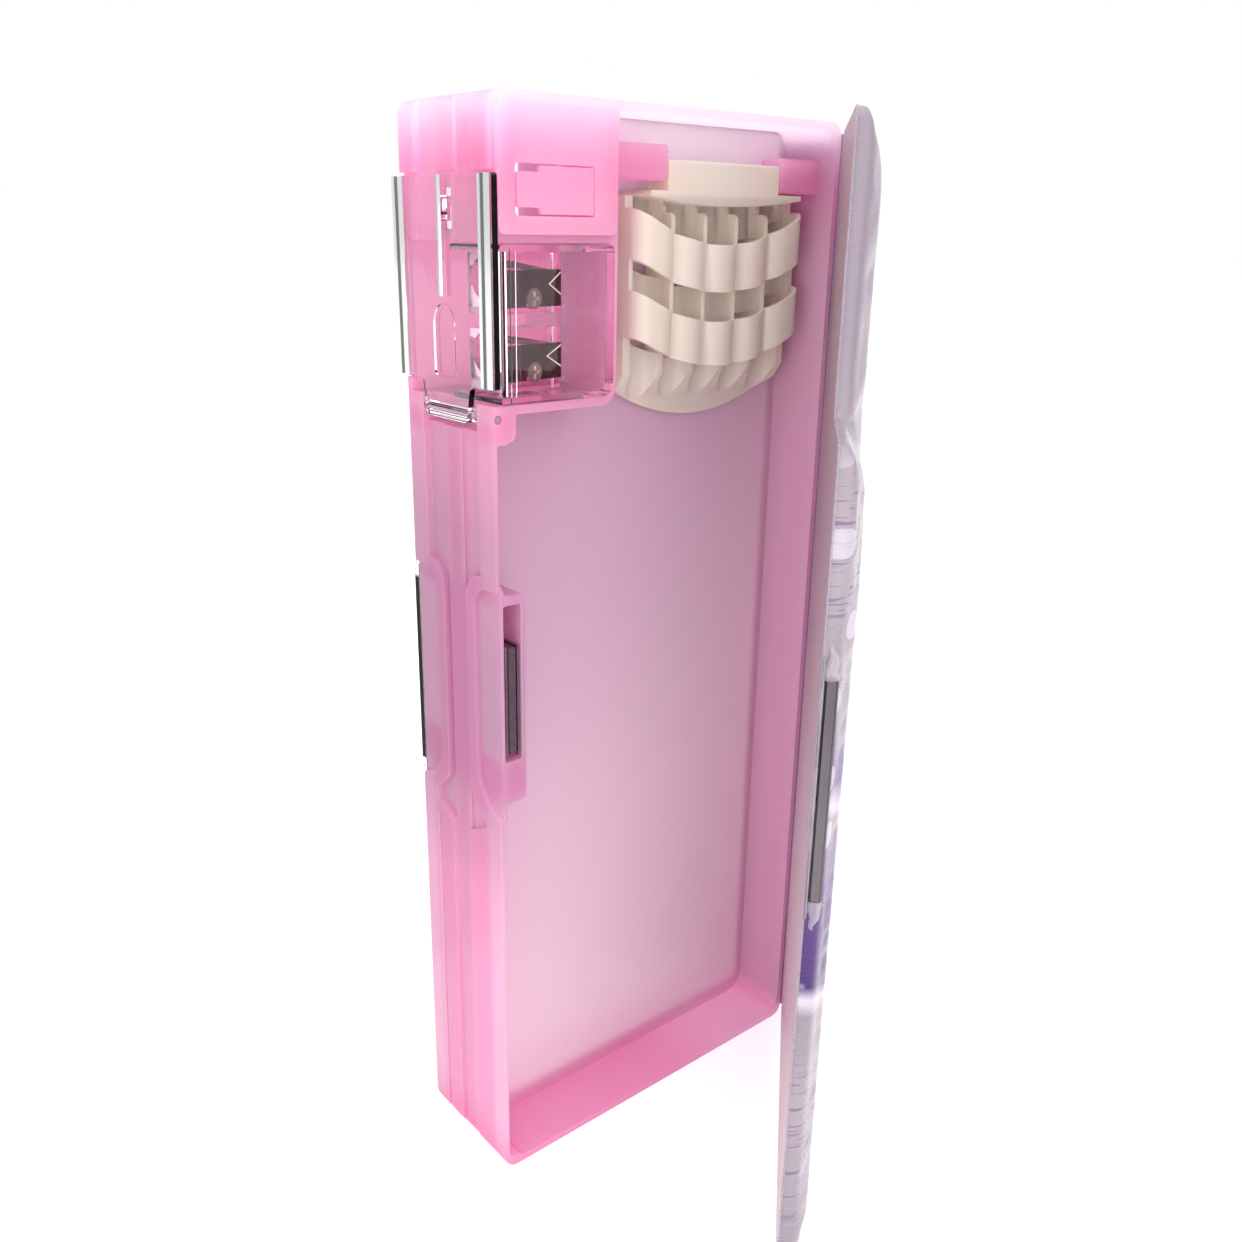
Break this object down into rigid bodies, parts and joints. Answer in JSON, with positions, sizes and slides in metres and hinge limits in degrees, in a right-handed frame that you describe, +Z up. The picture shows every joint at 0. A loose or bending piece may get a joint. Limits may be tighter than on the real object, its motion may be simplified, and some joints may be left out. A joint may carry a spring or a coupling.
{
  "type": "pencil case",
  "caption": "Upright double-sided pencil case with padded magnetic lids, a tilting pencil rack and a built-in sharpener corner with a clear door.",
  "frame": {"origin": "centre of the case body's short end, on which it stands", "axes": "+Z up along the case, +X towards the hinge side, -Y out of the front tray"},
  "size_m": [0.095, 0.1003, 0.23],
  "materials": {
    "pink_plastic": "translucent satin pink moulding",
    "clear_plastic": "clear polished moulding",
    "chrome_strip": "bright plated strip",
    "dark_steel": "dark polished steel",
    "screw_steel": "bright steel",
    "ferrite": "matt dark ferrite",
    "white_plastic": "satin warm white moulding",
    "lavender_vinyl": "glossy clear vinyl over printed foam pad",
    "spine_vinyl": "glossy printed vinyl",
    "lining_board": "smooth pale sheet"
  },
  "bodies": {
    "case": {"body_shell": "pink_plastic", "button_housing": "pink_plastic", "sharpener_case": "clear_plastic", "sharpener_body_upper": "clear_plastic", "sharpener_body_lower": "clear_plastic", "blade_upper": "dark_steel", "blade_lower": "dark_steel", "blade_screw_upper": "screw_steel", "blade_screw_lower": "screw_steel", "door_pivot_pin": "clear_plastic", "front_magnet": "ferrite", "front_magnet_plate_outer": "dark_steel", "front_magnet_plate_inner": "dark_steel", "back_magnet": "ferrite", "back_magnet_plate_outer": "dark_steel", "back_magnet_plate_inner": "dark_steel", "spine_cover": "spine_vinyl"},
    "front_lid": {"front_lid_pad": "lavender_vinyl", "front_lid_board": "lining_board", "front_striker": "dark_steel"},
    "back_lid": {"back_lid_pad": "lavender_vinyl", "back_lid_board": "lining_board", "back_striker": "dark_steel"},
    "door": {"sharpener_door": "clear_plastic", "door_trim_front": "chrome_strip", "door_trim_back": "chrome_strip", "door_trim_centre": "chrome_strip"},
    "tongue": {"release_tongue": "pink_plastic"},
    "rack": {"pencil_rack": "white_plastic"}
  },
  "joints": [
    {"name": "front_lid_hinge", "type": "hinge", "parent": "case", "child": "front_lid", "pos_m": [0.04655, -0.01695, 0], "axis": [0, 0, 1], "range_deg": [-42, 138]},
    {"name": "back_lid_hinge", "type": "hinge", "parent": "case", "child": "back_lid", "pos_m": [0.04655, 0.01695, 0], "axis": [0, 0, -1], "range_deg": [0, 180]},
    {"name": "sharpener_door_hinge", "type": "hinge", "parent": "case", "child": "door", "pos_m": [-0.04495, 0, 0.1735], "axis": [0, -1, 0], "range_deg": [0, 70]},
    {"name": "release_tongue_bend", "type": "hinge", "parent": "case", "child": "tongue", "pos_m": [-0.02395, -0.01615, 0.2138], "axis": [0, 0, -1], "range_deg": [0, 8], "stiffness_Nm_per_rad": 0.05},
    {"name": "rack_tilt", "type": "hinge", "parent": "case", "child": "rack", "pos_m": [0.01615, -0.00785, 0.219], "axis": [-1, 0, 0], "range_deg": [0, 4.5]}
  ]
}
